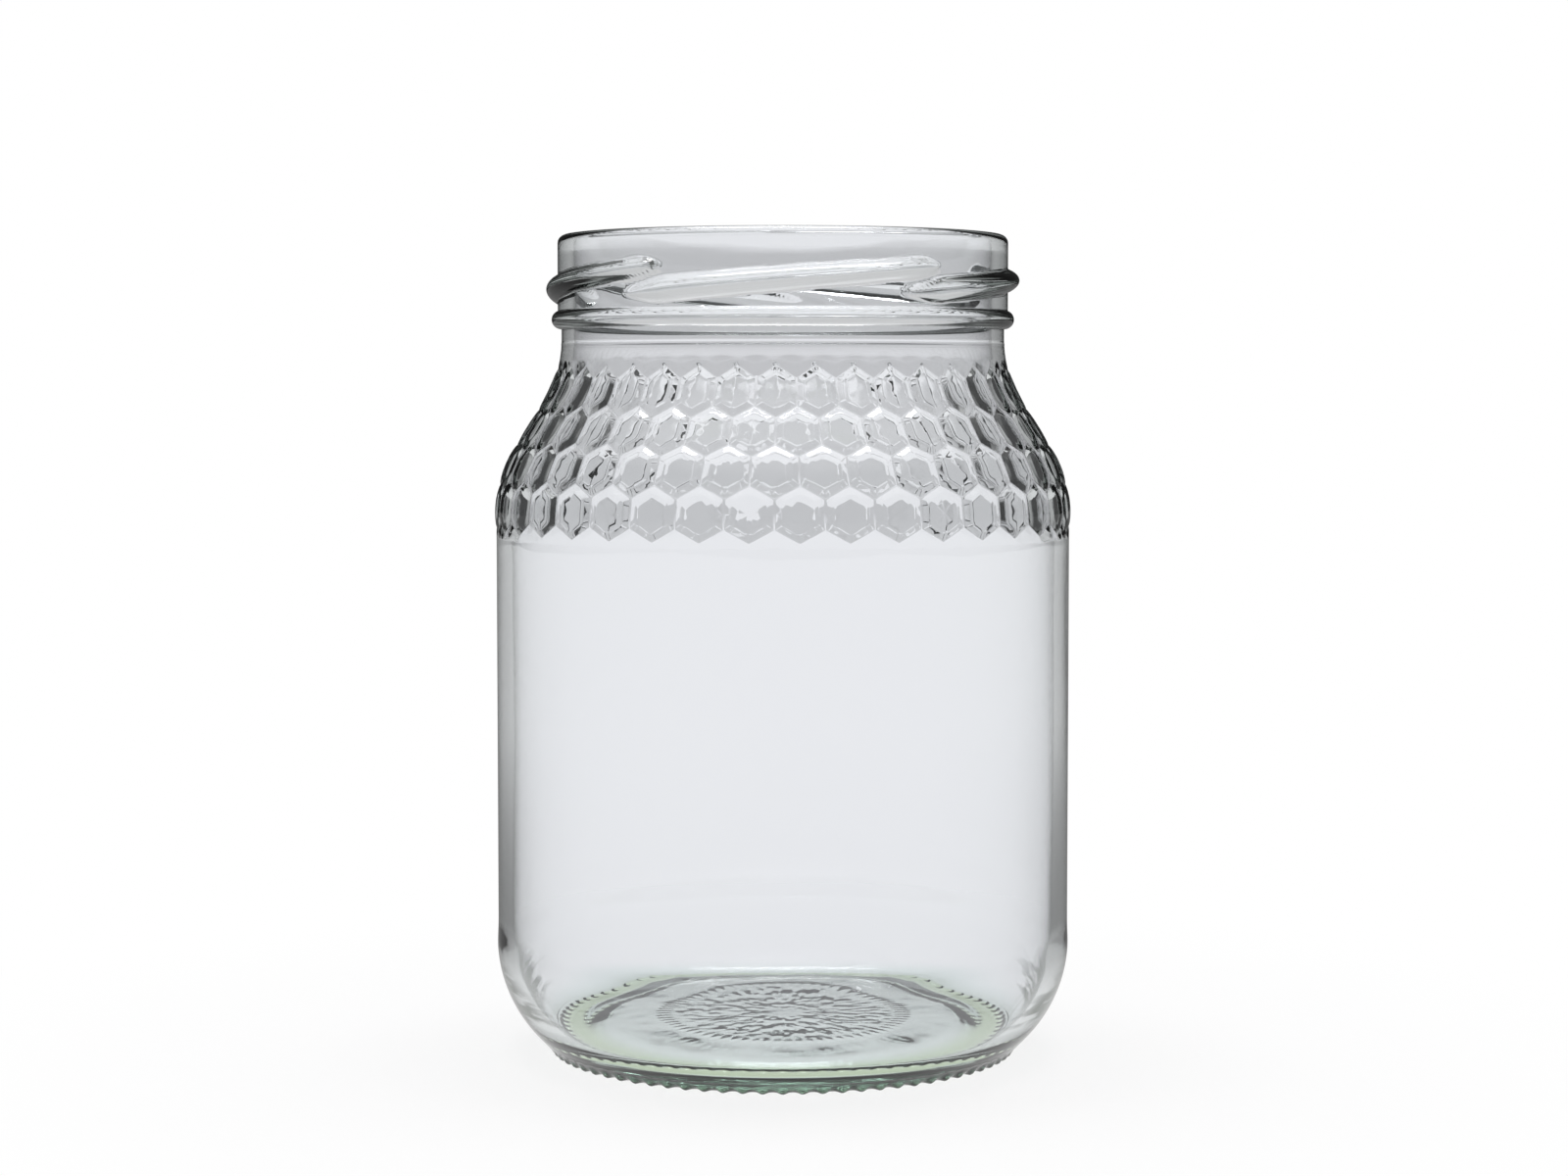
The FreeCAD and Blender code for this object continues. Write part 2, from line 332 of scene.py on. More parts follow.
# Lip
lipHeight = jarShape["height"]
innerCorner, outerCorner = jarShape["lipInnerCorner"], jarShape["lipOuterCorner"]
innerCentre = (jarShape["boreRadius"] + innerCorner, lipHeight - innerCorner)
outerCentre = (jarShape["finishRadius"] - outerCorner, lipHeight - outerCorner)
lipRows = arcRows(innerCentre, innerCorner, 180, 90, jarShape["lipInnerCuts"])[1:]
lipRows += arcRows(outerCentre, outerCorner, 90, 0, jarShape["lipOuterCuts"])
lip = addRings(lipRows, columns, inside)

# Thread: five leads that rise to the right, and the bead under them
threadShape = {
    "starts": 5,
    "from": -41.7,             # degrees from the front
    "span": 82.4,              # degrees covered by one lead
    "pitch": 18.4,             # rise in a full turn
    "low": 122.35,             # middle of the low end
    "width": 4.0,
    "proud": 1.85,
    "roundness": 0.75,         # power of the rounded section
    "point": 12.0,             # degrees of the pointed low end
    "nose": 5.0,               # degrees of the blunt high end
    "taper": 0.28,
    "plainFoot": 130.9,        # end of the plain cylinder under the lip
    "top": 130.7,
    "overBead": 0.1,           # the last row stands this much over the bead
    "rowGap": 0.23,
    "handover": 3,             # degrees in which the rows leave one lead for the next
}
beadShape = {"top": 120.3, "bulge": 37.4, "cuts": 14}


def threadProud(degrees, height):
    t = threadShape
    most = 0
    for start in range(t["starts"]):
        turned = (degrees - t["from"] - start * 360 / t["starts"]) % 360
        if turned >= t["span"]:
            continue
        point = math.sin(min(turned / t["point"], 1) * math.pi / 2)
        nose = math.sqrt(1 - (max(turned - t["span"] + t["nose"], 0) / t["nose"]) ** 2)
        half = t["width"] / 2 * point * nose * (1 - t["taper"] * (turned / t["span"]) ** 2)
        away = abs(height - t["low"] - t["pitch"] * turned / 360) / max(half, 0.001)
        if away < 1:
            most = max(most, t["proud"] * point * nose * (1 - away ** 2) ** t["roundness"])
    return most


def leadShift(degrees):   # rows of points run along a lead, then drop back to the next one
    t = threadShape
    each = 360 / t["starts"]
    overlap = t["span"] - each + t["handover"]
    turned = (degrees - t["from"] - overlap + t["handover"] / 2) % each
    rise = t["pitch"] * each / 360
    if turned < each - overlap:
        share = turned / (each - overlap)
    else:
        share = 1 - smoothStep((turned - each + overlap) / overlap)
    return rise * (share - 0.5)


def threadedSkin(degrees, radius, height):
    top = threadShape["top"]
    middle = (top + beadShape["top"]) / 2
    away = min(abs(height - middle) / (top - middle), 1)
    height += leadShift(degrees) * (1 - away ** 2)
    return radius + threadProud(degrees, height), height


finish = jarShape["finishRadius"]
plain = addRings([(finish, threadShape["plainFoot"])], columns, lip)
threadTop, threadFoot = threadShape["top"], beadShape["top"] + threadShape["overBead"]
threadSteps = round((threadTop - threadFoot) / threadShape["rowGap"])
threadRows = straightRows((finish, threadTop), (finish, threadFoot), threadSteps)
threads = addRings(threadRows, columns, plain, threadedSkin)
beadMiddle = (beadShape["top"] + jarShape["neckTop"]) / 2
beadRows = arcThrough((finish, beadShape["top"]), (beadShape["bulge"], beadMiddle),
                      (jarShape["neckRadius"], jarShape["neckTop"]), beadShape["cuts"])
bead = addRings(beadRows, columns, threads)
print("lip, thread and bead drawn")

# Neck, down to the first honeycomb row
neckShape = {
    "heights": (117.28, 116.7),
    "aboveSeam": (0, 0.5, 0.85),   # down the slope
    "seam": 1.1,                   # ring seam of the mould
    "seamProud": 0.05,
    "belowSeam": (1.35, 1.9, 2.7),
}
neckRows = [(jarShape["neckRadius"], height) for height in neckShape["heights"]]
neckRows += [outerSkin(run) for run in neckShape["aboveSeam"]]
neckRows.append(outerSkin(neckShape["seam"], neckShape["seamProud"]))
neckRows += [outerSkin(run) for run in neckShape["belowSeam"] + (combShape["plainAbove"],)]
neck = addRings(neckRows, columns, bead)

# Honeycomb: every cell is its own patch, and neighbours share the points of the groove between them
flank = (combShape["pitch"] - combShape["tip"]) / 2
tipReach = (combShape["pitch"] + combShape["tip"]) / 2
cuts = combShape["cuts"]
grooves = {}


def groovePoint(column, run):
    key = (column % columns, round(run * 1000))
    if key not in grooves:
        grooves[key] = addPoint(columnAngle(column, columns), *outerSkin(run, -combShape["groove"]))
    return grooves[key]


def insetOutline(outline, width):   # drawn in by a width, each side parallel to itself
    drawn = []
    for here, (x, y) in enumerate(outline):
        before, after = outline[here - 1], outline[(here + 1) % len(outline)]
        come = math.atan2(y - before[1], x - before[0])
        go = math.atan2(after[1] - y, after[0] - x)
        bend = (go - come + math.pi) % (2 * math.pi) - math.pi
        middle = come + bend / 2 + math.pi / 2
        reach = width / math.cos(bend / 2)
        drawn.append((x + reach * math.cos(middle), y + reach * math.sin(middle)))
    return drawn


def alongOutline(outline):
    points = []
    for here, (x, y) in enumerate(outline):
        after = outline[(here + 1) % len(outline)]
        for cut in range(cuts):
            points.append((x + (after[0] - x) * cut / cuts, y + (after[1] - y) * cut / cuts))
    return points


def roundedOff(points):
    count = len(points)
    rounded = []
    for k in range(count):
        before, here, after = points[k - 1], points[k], points[(k + 1) % count]
        rounded.append(tuple((before[i] + 2 * here[i] + after[i]) / 4 for i in (0, 1)))
    return rounded


def cellCorners(topHalf, lowHalf):   # across and down from the middle, the upper tip first
    return [(0, -tipReach), (topHalf, -flank), (lowHalf, flank),
            (0, tipReach), (-lowHalf, flank), (-topHalf, -flank)]


def addComb(middleColumn, middleRun):
    edge = alongOutline(cellCorners(cuts, cuts))
    last = [groovePoint(round(middleColumn + across), middleRun + down) for across, down in edge]
    middle = columnAngle(middleColumn, columns)
    topHalf = outerSkin(middleRun - flank)[0] * math.radians(combStep / 2)
    lowHalf = outerSkin(middleRun + flank)[0] * math.radians(combStep / 2)
    corners = cellCorners(topHalf, lowHalf)

    def cellPoint(across, down, share):
        radius = outerSkin(middleRun + down)[0]
        crown = combShape["flatness"] * across ** 2 / (2 * radius)
        rise = combShape["groove"] + combShape["proud"] + crown
        skin = outerSkin(middleRun + down, rise * share - combShape["groove"])
        return addPoint(middle + math.degrees(across / radius), *skin)

    for width, share in combShape["section"]:
        points = alongOutline(insetOutline(corners, width))
        if width >= combShape["roundFrom"]:
            points = roundedOff(points)
        ring = [cellPoint(across, down, share) for across, down in points]
        for k in range(len(ring)):
            after = (k + 1) % len(ring)
            jarFaces.append([last[after], last[k], ring[k], ring[after]])
        last = ring
    centre = cellPoint(0, 0, 1)
    for k in range(len(last)):
        jarFaces.append([last[(k + 1) % len(last)], last[k], centre])


for row in range(combShape["rows"]):
    for column in range(combShape["columns"]):
        addComb(cuts * (2 * column + 1 + row % 2), combShape["drop"] + row * combShape["pitch"])


def zigzag(middleRun, reach, odd):   # the outer edge of the first or the last row
    ring = []
    for column in range(columns):
        away = abs((column + odd * cuts) % (2 * cuts) - cuts) / cuts
        ring.append((column, middleRun + reach * (tipReach - (tipReach - flank) * away)))
    return ring


def halfwayRing(edge, run):
    return [addPoint(columnAngle(column, columns), *outerSkin((at + run) / 2)) for column, at in edge]


lastRow = combShape["rows"] - 1
lastRun = combShape["drop"] + lastRow * combShape["pitch"]
firstEdge = zigzag(combShape["drop"], -1, 0)
lastEdge = zigzag(lastRun, 1, lastRow % 2)
combEnd = lastRun + tipReach + combShape["plainBelow"]

halfway = halfwayRing(firstEdge, combShape["plainAbove"])
joinRings(neck, halfway)
joinRings(halfway, [groovePoint(column, run) for column, run in firstEdge])
halfway = halfwayRing(lastEdge, combEnd)
joinRings([groovePoint(column, run) for column, run in lastEdge], halfway)
combFoot = addRing(columns, lambda degrees: outerSkin(combEnd))
joinRings(halfway, combFoot)
print("honeycomb drawn,", combShape["rows"] * combShape["columns"], "cells")

# Label panel, heel, knurled bearing ring and the underside
heelShape = {
    "panelTop": 80,            # the panel's own rings, between the comb and the heel
    "panelFoot": 26,
    "panelRings": 5,
    "labelFoot": 20.1,
    "bodyRadius": 46.6,
    "height": 18.5,
    "radius": 22.0,
    "turn": 48.0,
    "cuts": 40,
    "easing": 10,
    "rowGap": 0.95,
    "jointHeight": 1.9,        # mould joint between the body and the base plate
    "jointProud": 0.07,
    # up and down from the joint, and the share of its height there
    "jointSection": [(0.25, 0), (0.08, 0.7), (0, 1), (-0.08, 0.7), (-0.25, 0)],
    "jointLean": 0.7,          # the joint stands out and down alike
}
baseShape = {
    "ringHeight": 0.03,
    "ringOuter": 37.18,
    "ringInner": 33.18,
    "outerReach": 1.5,         # how far the rounding of each corner reaches
    "outerCuts": 7,
    "innerReach": 0.9,
    "innerCuts": 5,
    "flatCuts": 3,             # pieces of the flat between them, and of the cone inside
    "domeFoot": 28.68,
    "domeFootHeight": 1.4,
    "domeHeight": 2.1,
    "domeReach": 1.0,
    "domeCuts": 3,
    "domeTowards": 22,         # the rounding at the dome's foot aims at this radius
    "knurls": 76,
    "knurlProud": 0.45,
    "knurlSharpness": 1.4,
    "knurlTop": 1.5,           # height at which the knurls fade into the heel
    "knurlRows": 3,            # rows in which they do
    "knurlStart": 0.6,         # so many rows of fading are behind the first one
    "knurlFrom": 36.4,         # radius at which they fade out inwards
    "knurlFade": 0.9,
}

panel, body = jarShape["panelRadius"], heelShape["bodyRadius"]
heelCentre = body - heelShape["radius"]


def heelRadiusAt(height):
    return heelCentre + math.sqrt(heelShape["radius"] ** 2 - (heelShape["height"] - height) ** 2)


panelFoot = (panel, heelShape["panelFoot"])
panelRows = straightRows((panel, heelShape["panelTop"]), panelFoot, heelShape["panelRings"])
wall = addRings(panelRows, columns, combFoot)
heelPath = [panelFoot, (panel, heelShape["labelFoot"]), (body, heelShape["height"])]
heelMiddle = (heelCentre, heelShape["height"])
heelPath += arcRows(heelMiddle, heelShape["radius"], 0, -heelShape["turn"], heelShape["cuts"])[1:]
heel = addRings(eased(heelPath, heelShape["rowGap"], heelShape["easing"])[1:], columns, wall)
jointRows = []
for away, share in heelShape["jointSection"]:
    height = heelShape["jointHeight"] + away
    proud = heelShape["jointProud"] * share * heelShape["jointLean"]
    jointRows.append((heelRadiusAt(height) + proud, height - proud))
joint = addRings(jointRows, columns, heel)

ringHeight = baseShape["ringHeight"]
ringCorner = (baseShape["ringOuter"], ringHeight)
ringEdge = (baseShape["ringInner"], ringHeight)
domeFoot = (baseShape["domeFoot"], baseShape["domeFootHeight"])
aboveCorner = (heelRadiusAt(baseShape["knurlTop"]), baseShape["knurlTop"])
innerReach = baseShape["innerReach"]
ringRows = softCorner(aboveCorner, ringCorner, ringEdge, baseShape["outerReach"], baseShape["outerCuts"])
flatEnd = (ringEdge[0] + innerReach, ringHeight)
ringRows += straightRows(ringRows[-1], flatEnd, baseShape["flatCuts"])[1:-1]
ringRows += softCorner(ringCorner, ringEdge, domeFoot, innerReach, baseShape["innerCuts"])


def knurledRows(rows):   # bars across the ring, standing off the section at a right angle
    for here, (radius, height) in enumerate(rows):
        before, after = rows[max(here - 1, 0)], rows[min(here + 1, len(rows) - 1)]
        along = math.hypot(after[0] - before[0], after[1] - before[1])
        outX, outZ = (before[1] - after[1]) / along, (after[0] - before[0]) / along
        down = smoothStep((here + baseShape["knurlStart"]) / baseShape["knurlRows"])
        inwards = smoothStep((radius - baseShape["knurlFrom"]) / baseShape["knurlFade"])
        yield radius, height, outX, outZ, down * inwards


def knurlAt(degrees):
    wave = 0.5 + 0.5 * math.cos(math.radians(degrees * baseShape["knurls"]))
    return wave ** baseShape["knurlSharpness"]


ringFoot = joint
for radius, height, outX, outZ, fade in knurledRows(ringRows):
    def knurled(degrees):
        proud = baseShape["knurlProud"] * knurlAt(degrees) * fade
        return radius + outX * proud, max(height + outZ * proud, 0)
    ring = addRing(columns * 2, knurled)
    joinRings(ringFoot, ring)
    ringFoot = ring
print("heel and knurled ring drawn")

foot, footHeight, domeTop = domeFoot[0], domeFoot[1], baseShape["domeHeight"]
domeRise = domeTop - footHeight
domeSphere = (foot ** 2 + domeRise ** 2) / (2 * domeRise)


def domeAt(radius):
    return domeTop - domeSphere + math.sqrt(domeSphere ** 2 - radius ** 2)


domeAim = (baseShape["domeTowards"], domeAt(baseShape["domeTowards"]))
coneRows = straightRows(ringRows[-1], domeFoot, baseShape["flatCuts"])[1:-1]
coneRows += softCorner(ringEdge, domeFoot, domeAim, baseShape["domeReach"], baseShape["domeCuts"])
cone = addRings(coneRows, columns, ringFoot)

# Plain stippling, a ring and dots, pressed into the base by the mould
markShape = {
    "radius": 20.98,
    "depth": 0.12,
    "edge": 4,                 # width of the slope at its rim, and how far that starts outside it
    "edgeOut": 1,
    "stipple": 0.2,
    "chip": 1.7,               # size of one chip of the stippling
    "chipLevel": 0.9,
    "chipDrop": 1.8,
    "grain": 0.6,
    "grainSize": 0.9,
    "roughTo": 18.5,
    "roughFade": 4,
    "smoothTo": 4.6,           # the middle is smooth
    "smoothFade": 0.8,
    "ring": 6.4,
    "ringLift": 0.12,
    "ringWidth": 0.6,
    "dotRing": 19.4,
    "dots": 72,
    "dotDepth": 0.35,
    "dotLong": 0.42,
    "dotWide": 0.36,
}
# radii of the rings: the first one, the step inwards, how many
markRings = {"plain": (26.8, 1.2, 2), "marked": (24.9, 0.75, 25), "core": (6.6, 0.55, 11)}


def markedUnderside(degrees, radius, height):   # 3 and 8 below only pick other parts of the noise
    m = markShape
    turn = math.radians(degrees)
    x, y = radius * math.sin(turn), -radius * math.cos(turn)
    lift = m["depth"] * smoothStep((m["radius"] + m["edgeOut"] - radius) / m["edge"])
    chips = noise.voronoi(Vector((x / m["chip"], y / m["chip"], 3.0)))[0][0]
    grain = noise.noise(Vector((x / m["grainSize"], y / m["grainSize"], 8.0)))
    grain = m["chipLevel"] - m["chipDrop"] * chips + m["grain"] * grain
    rough = smoothStep((m["roughTo"] - radius) / m["roughFade"])
    rough *= 1 - smoothStep((m["smoothTo"] - radius) / m["smoothFade"])
    lift += m["stipple"] * grain * rough
    lift += m["ringLift"] * math.exp(-((radius - m["ring"]) / m["ringWidth"]) ** 2)
    spot = degrees * m["dots"] / 360 % 1 - 0.5
    across = spot * 2 * math.pi * m["dotRing"] / m["dots"]
    away = ((radius - m["dotRing"]) / m["dotLong"]) ** 2 + (across / m["dotWide"]) ** 2
    lift += m["dotDepth"] * math.exp(-away)
    return radius, height + lift


def domeRows(first, step, count):
    return [(first - step * k, domeAt(first - step * k)) for k in range(count)]


dome = addRings(domeRows(*markRings["plain"]), columns, cone)
mark = addRings(domeRows(*markRings["marked"]), columns, dome, markedUnderside)
core = addRings(domeRows(*markRings["core"]), columns // 2, mark, markedUnderside)
baseMiddle = addPoint(0, 0, domeTop + markShape["depth"])
for column, here in enumerate(core):
    jarFaces.append([here, baseMiddle, core[(column + 1) % len(core)]])
print("underside drawn")

jarMesh = bpy.data.meshes.new("jarGlass")
jarMesh.from_pydata([(x * metre, y * metre, jarLow.z + z * metre) for x, y, z in jarPoints], [], jarFaces)
for face in jarMesh.polygons:
    face.use_smooth = True
jarMesh.update()
jarGlass = bpy.data.objects.new("jarGlass", jarMesh)
bpy.context.collection.objects.link(jarGlass)


def setInput(tree, socket, value):   # another node's output is linked, anything else is set
    if isinstance(value, bpy.types.NodeSocket):
        tree.links.new(value, socket)
    else:
        socket.default_value = value


def sums(tree, operation, *values):
    node = tree.nodes.new("ShaderNodeMath")
    node.operation = operation
    for socket, value in zip(node.inputs, values):
        setInput(tree, socket, value)
    return node.outputs[0]


def ramp(tree, value, low, high, start, end, smooth=True):
    node = tree.nodes.new("ShaderNodeMapRange")
    node.interpolation_type = "SMOOTHSTEP" if smooth else "LINEAR"
    setInput(tree, node.inputs["Value"], value)
    for name, number in (("From Min", low), ("From Max", high), ("To Min", start), ("To Max", end)):
        setInput(tree, node.inputs[name], number)
    return node.outputs["Result"]


def mixedColour(tree, share, first, second, blend="MIX"):
    node = tree.nodes.new("ShaderNodeMix")
    node.data_type = "RGBA"
    node.blend_type = blend
    setInput(tree, node.inputs["Factor"], share)
    setInput(tree, node.inputs["A"], first)
    setInput(tree, node.inputs["B"], second)
    return node.outputs["Result"]


def noiseOn(tree, place, stretch, scale, detail):
    mapping = tree.nodes.new("ShaderNodeMapping")
    mapping.inputs["Scale"].default_value = stretch
    tree.links.new(place, mapping.inputs["Vector"])
    node = tree.nodes.new("ShaderNodeTexNoise")
    node.inputs["Scale"].default_value = scale
    node.inputs["Detail"].default_value = detail
    tree.links.new(mapping.outputs["Vector"], node.inputs["Vector"])
    return node.outputs["Fac"]


# Clear glass with a faint green depth, with shade painted dark into its colour where the skin is met edge-on
# and round the heel. Heights here are in metres above the floor
glassLook = {
    "ior": 1.52,
    "tint": (0.81, 0.92, 0.86, 1),
    "depth": 45.0,
    "clear": (0.949, 0.947, 0.968, 1),
    "smear": (0.942, 0.937, 0.965, 1),
    "stretch": (1, 1, 0.35),    # smears and waves run up the wall
    "smears": 38,
    "smearDetail": 3,
    "greenHeight": 0.008,
    # the thick glass of the base reads greener: share of that height, colour
    "greens": [
        (0.0, (0.52, 0.66, 0.36, 1)),
        (0.14, (0.78, 0.86, 0.80, 1)),
        (0.42, (0.86, 0.92, 0.90, 1)),
        (0.85, (1, 1, 1, 1)),
    ],
    "edge": (0.07, 0.08, 0.068, 1),   # painted shade: dark where the skin is met edge-on
    "edgeFrom": 0.76,
    "edgeTo": 1.0,
    "edgeFoot": (0.0012, 0.0026),     # the painted edge shade fades out down to the floor
    "heelEdge": 0.26,           # how much wider the painted dark rim is round the heel
    "heelFoot": (0.0062, 0.0085),
    "heelTop": (0.009, 0.019),
    "heelStreaks": 900,
    "streakStretch": (0.1, 0.1, 1),
    "streakEdge": (0.4, 0.6),
    "streakGap": 0.35,          # what is left of the painted heel shade between the streaks
    "roughFrom": 0.55,
    "roughTo": 0.8,
    "roughest": 0.02,
    "waves": 90,
    "bump": 0.06,
    "bumpDistance": 0.0003,
}


# Painted shade: a dark band round the heel, broken into upright streaks, added to the edge-on shade
def paintedHeelShade(tree, place, height):
    low, high = glassLook["heelFoot"], glassLook["heelTop"]
    band = sums(tree, "MULTIPLY", ramp(tree, height, *low, 0.0, glassLook["heelEdge"]),
                ramp(tree, height, *high, 1.0, 0.0))
    streaks = noiseOn(tree, place, glassLook["streakStretch"], glassLook["heelStreaks"], 2)
    streaks = ramp(tree, streaks, *glassLook["streakEdge"], glassLook["streakGap"], 1.0)
    return sums(tree, "MULTIPLY", band, streaks)


def makeGlass():
    material = bpy.data.materials.new("clearGlass")
    material.use_nodes = True
    tree = material.node_tree
    nodes, links = tree.nodes, tree.links
    shader = nodes["Principled BSDF"]
    shader.inputs["IOR"].default_value = glassLook["ior"]
    shader.inputs["Transmission Weight"].default_value = 1.0
    place = nodes.new("ShaderNodeTexCoord").outputs["Object"]
    split = nodes.new("ShaderNodeSeparateXYZ")
    links.new(place, split.inputs[0])
    height = split.outputs["Z"]

    smears = noiseOn(tree, place, glassLook["stretch"], glassLook["smears"], glassLook["smearDetail"])
    colour = mixedColour(tree, smears, glassLook["clear"], glassLook["smear"])
    greens = nodes.new("ShaderNodeValToRGB")
    while len(greens.color_ramp.elements) < len(glassLook["greens"]):
        greens.color_ramp.elements.new(0.5)
    for element, (at, green) in zip(greens.color_ramp.elements, glassLook["greens"]):
        element.position, element.color = at, green
    links.new(sums(tree, "DIVIDE", height, glassLook["greenHeight"]), greens.inputs["Fac"])
    greener = mixedColour(tree, 1.0, colour, greens.outputs["Color"], "MULTIPLY")

    # Painted shade: the base colour turns dark where the skin is met edge-on, and in a band round the heel
    facing = nodes.new("ShaderNodeLayerWeight")
    facing.inputs["Blend"].default_value = 0.5
    paintedRimShade = sums(tree, "ADD", facing.outputs["Facing"], paintedHeelShade(tree, place, height))
    paintedRimShade = sums(tree, "MULTIPLY", paintedRimShade, ramp(tree, height, *glassLook["edgeFoot"], 0.0, 1.0))
    edge = ramp(tree, paintedRimShade, glassLook["edgeFrom"], glassLook["edgeTo"], 0.0, 1.0)
    links.new(mixedColour(tree, edge, greener, glassLook["edge"]), shader.inputs["Base Color"])

    low, high = glassLook["roughFrom"], glassLook["roughTo"]
    rough = ramp(tree, smears, low, high, 0.0, glassLook["roughest"], smooth=False)
    links.new(rough, shader.inputs["Roughness"])
    bump = nodes.new("ShaderNodeBump")
    bump.inputs["Strength"].default_value = glassLook["bump"]
    bump.inputs["Distance"].default_value = glassLook["bumpDistance"]
    links.new(noiseOn(tree, place, glassLook["stretch"], glassLook["waves"], 2), bump.inputs["Height"])
    links.new(bump.outputs["Normal"], shader.inputs["Normal"])
    depth = nodes.new("ShaderNodeVolumeAbsorption")
    depth.inputs["Color"].default_value = glassLook["tint"]
    depth.inputs["Density"].default_value = glassLook["depth"]
    links.new(depth.outputs["Volume"], nodes["Material Output"].inputs["Volume"])
    return material


jarMesh.materials.append(makeGlass())
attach(jarGlass, "root")
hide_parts("jar")
print("glass set")

# Floor, light and camera
studio = {
    "floorSize": 6.0,
    "floorColour": (0.86, 0.86, 0.87, 1),
    "floorGlow": 0.85,         # share of the floor's white that shadows do not touch, close to the jar
    "shadowEdge": (0.05, 0.16),   # metres from the jar's middle
    "footLight": 0.8,          # what the glass mirrors of the floor, under the base
    "darkFloor": 0.22,         # and beyond it
    "footEdge": (0.045, 0.14),
    "softBoxes": [
        # place, size, power in watts
        ((0, 0.12, 1.0), (0.7, 0.35), 8.0),
    ],
    "lightTarget": (0, 0, 0.07),
    "darkCards": 0.05,         # what the glass mirrors round the jar, where the studio is unlit
    "fill": 0.35,              # light from all round
    "wallLight": 0.7,          # light turned back once inside the wall
    "wallLightFloor": (0.12, 0.6),
    "wallLightNear": 0.1,      # what is left of it on the floor near the jar, and away from behind
    "wallLightAside": 0.02,
    "baseLight": 0.8,          # and once by the inside of the base
    "baseCrossings": (4.5, 1.6),   # how often that light crosses the skin, more or less
    "backdrop": 0.66,          # the upright backdrop as the glass shows it, a little under the floor's white
    "sideways": 0.93,          # the backdrop away from straight behind
    "overhead": 1.0,
    "guided": 0.3,             # light led along inside the base
    "guidedFrom": 2.5,         # after more turns than this
}
# where parts of the studio begin and end, as the sine of the angle: backwards, or upwards
studioBands = {
    "wallLight": (0.65, 0.85),
    "backdrop": (0.6, 0.9),
    "guided": (0.5, 0.75),
    "horizon": (-0.06, 0.01),
    "overhead": (0.55, 0.85),
}


# White straight through the glass, darker where it mirrors. Light that turned once and crossed the skin
# twice was turned inside the wall, and with more crossings it was turned by the base
def studioLevel(tree, path, darkest, wallLight):
    bounces, crossings = path.outputs["Glossy Depth"], path.outputs["Transmission Depth"]
    mirrored = sums(tree, "MINIMUM", bounces, 1.0)
    once = sums(tree, "COMPARE", bounces, 1.0, 0.5)
    inWall = sums(tree, "MULTIPLY", once, sums(tree, "COMPARE", crossings, 2.0, 0.5))
    offBase = sums(tree, "MULTIPLY", once, sums(tree, "COMPARE", crossings, *studio["baseCrossings"]))
    lit = sums(tree, "ADD", sums(tree, "MULTIPLY", inWall, wallLight),
               sums(tree, "MULTIPLY", offBase, studio["baseLight"]))
    dark = sums(tree, "SUBTRACT", mirrored, lit)
    level = sums(tree, "SUBTRACT", 1.0, sums(tree, "MULTIPLY", dark, sums(tree, "SUBTRACT", 1.0, darkest)))
    return mirrored, level


def makeFloor():
    mesh = bpy.data.meshes.new("floor")
    half = studio["floorSize"] / 2
    corners = [(-half, -half, 0), (half, -half, 0), (half, half, 0), (-half, half, 0)]
    mesh.from_pydata(corners, [], [(0, 1, 2, 3)])
    floor = bpy.data.objects.new("floor", mesh)
    bpy.context.collection.objects.link(floor)
    floor.location.z = jarLow.z
    material = bpy.data.materials.new("paleFloor")
    material.use_nodes = True
    tree = material.node_tree
    tree.nodes.remove(tree.nodes["Principled BSDF"])
    path = tree.nodes.new("ShaderNodeLightPath")
    place = tree.nodes.new("ShaderNodeTexCoord")
    length = tree.nodes.new("ShaderNodeVectorMath")
    length.operation = "LENGTH"
    tree.links.new(place.outputs["Object"], length.inputs[0])
    away = length.outputs["Value"]
    white = ramp(tree, away, *studio["shadowEdge"], studio["floorGlow"], 1.0)
    seen = sums(tree, "MAXIMUM", path.outputs["Is Camera Ray"], path.outputs["Is Transmission Ray"])
    floorMirror = ramp(tree, away, *studio["footEdge"], studio["footLight"], studio["darkFloor"])
    wallLight = ramp(tree, away, *studio["wallLightFloor"], studio["wallLightNear"], studio["wallLight"])
    mirrored, level = studioLevel(tree, path, floorMirror, wallLight)
    matt = tree.nodes.new("ShaderNodeBsdfDiffuse")
    matt.inputs["Color"].default_value = studio["floorColour"]
    glow = tree.nodes.new("ShaderNodeEmission")
    tree.links.new(level, glow.inputs["Strength"])
    both = tree.nodes.new("ShaderNodeMixShader")
    tree.links.new(sums(tree, "MAXIMUM", sums(tree, "MULTIPLY", seen, white), mirrored), both.inputs["Fac"])
    tree.links.new(matt.outputs[0], both.inputs[1])
    tree.links.new(glow.outputs[0], both.inputs[2])
    tree.links.new(both.outputs[0], tree.nodes["Material Output"].inputs["Surface"])
    mesh.materials.append(material)


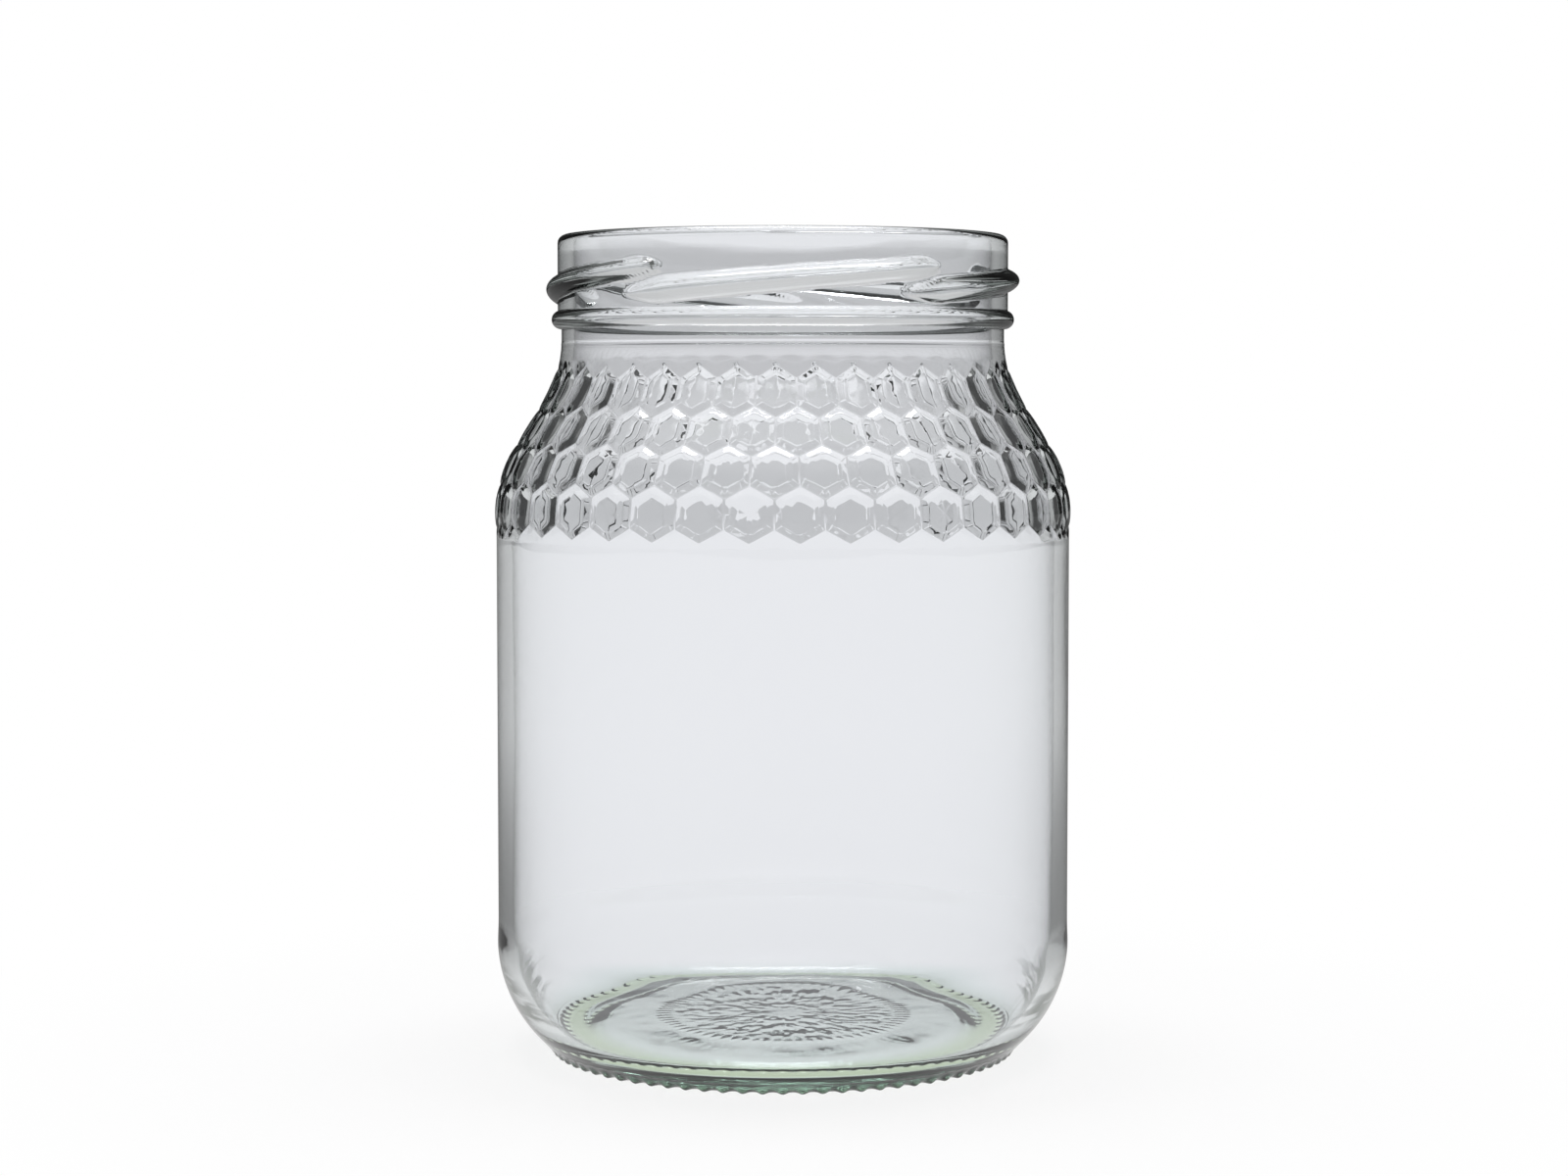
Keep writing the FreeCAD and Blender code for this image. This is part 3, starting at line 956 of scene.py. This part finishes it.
def makeSky():
    world = bpy.data.worlds.new("studio")
    bpy.context.scene.world = world
    world.use_nodes = True
    tree = world.node_tree
    place = tree.nodes.new("ShaderNodeTexCoord")
    split = tree.nodes.new("ShaderNodeSeparateXYZ")
    tree.links.new(place.outputs["Generated"], split.inputs[0])
    back, up = split.outputs["Y"], split.outputs["Z"]
    path = tree.nodes.new("ShaderNodeLightPath")
    wallLight = ramp(tree, back, *studioBands["wallLight"], studio["wallLightAside"], studio["wallLight"])
    mirrored, level = studioLevel(tree, path, studio["darkCards"], wallLight)
    overhead = ramp(tree, up, *studioBands["overhead"], 0.0, studio["overhead"])
    around = ramp(tree, back, *studioBands["backdrop"], studio["sideways"], studio["backdrop"])
    upright = ramp(tree, up, *studioBands["horizon"], 1.0, around)
    behind = sums(tree, "MAXIMUM", path.outputs["Is Camera Ray"], upright)
    shaded = sums(tree, "MULTIPLY", path.outputs["Is Diffuse Ray"], 1 - studio["fill"])
    behind = sums(tree, "SUBTRACT", behind, shaded)
    strength = sums(tree, "MAXIMUM", sums(tree, "MULTIPLY", level, behind),
                    sums(tree, "MULTIPLY", mirrored, overhead))
    turned = sums(tree, "GREATER_THAN", path.outputs["Glossy Depth"], studio["guidedFrom"])
    led = ramp(tree, back, *studioBands["guided"], 0.0, studio["guided"])
    strength = sums(tree, "MAXIMUM", strength, sums(tree, "MULTIPLY", turned, led))
    tree.links.new(strength, tree.nodes["Background"].inputs["Strength"])
    tree.nodes["Background"].inputs["Color"].default_value = (1, 1, 1, 1)


def makeSoftBox(place, size, power):
    light = bpy.data.lights.new("softBox", "AREA")
    light.shape = "RECTANGLE"
    light.size, light.size_y = size
    light.energy = power
    box = bpy.data.objects.new("softBox", light)
    box.location = place
    heading = Vector(studio["lightTarget"]) - Vector(place)
    box.rotation_euler = heading.to_track_quat("-Z", "Y").to_euler()
    bpy.context.collection.objects.link(box)


cameraView = {
    "place": (0, -0.5321, 0.1081),
    "down": 3.52,              # degrees below level
    "lens": 75.105,
    "sensor": 36,
    "shift": 0.00075,
    "reach": 20,
}


def makeCamera():
    lens = bpy.data.cameras.new("camera")
    lens.sensor_width = cameraView["sensor"]
    lens.lens = cameraView["lens"]
    lens.clip_end = cameraView["reach"]
    lens.shift_x = cameraView["shift"]
    camera = bpy.data.objects.new("camera", lens)
    camera.location = cameraView["place"]
    camera.rotation_euler = (math.radians(90 - cameraView["down"]), 0, 0)
    bpy.context.collection.objects.link(camera)
    bpy.context.scene.camera = camera


makeFloor()
makeSky()
for box in studio["softBoxes"]:
    makeSoftBox(*box)
makeCamera()
bpy.context.scene.view_settings.view_transform = "Standard"
print("studio set")
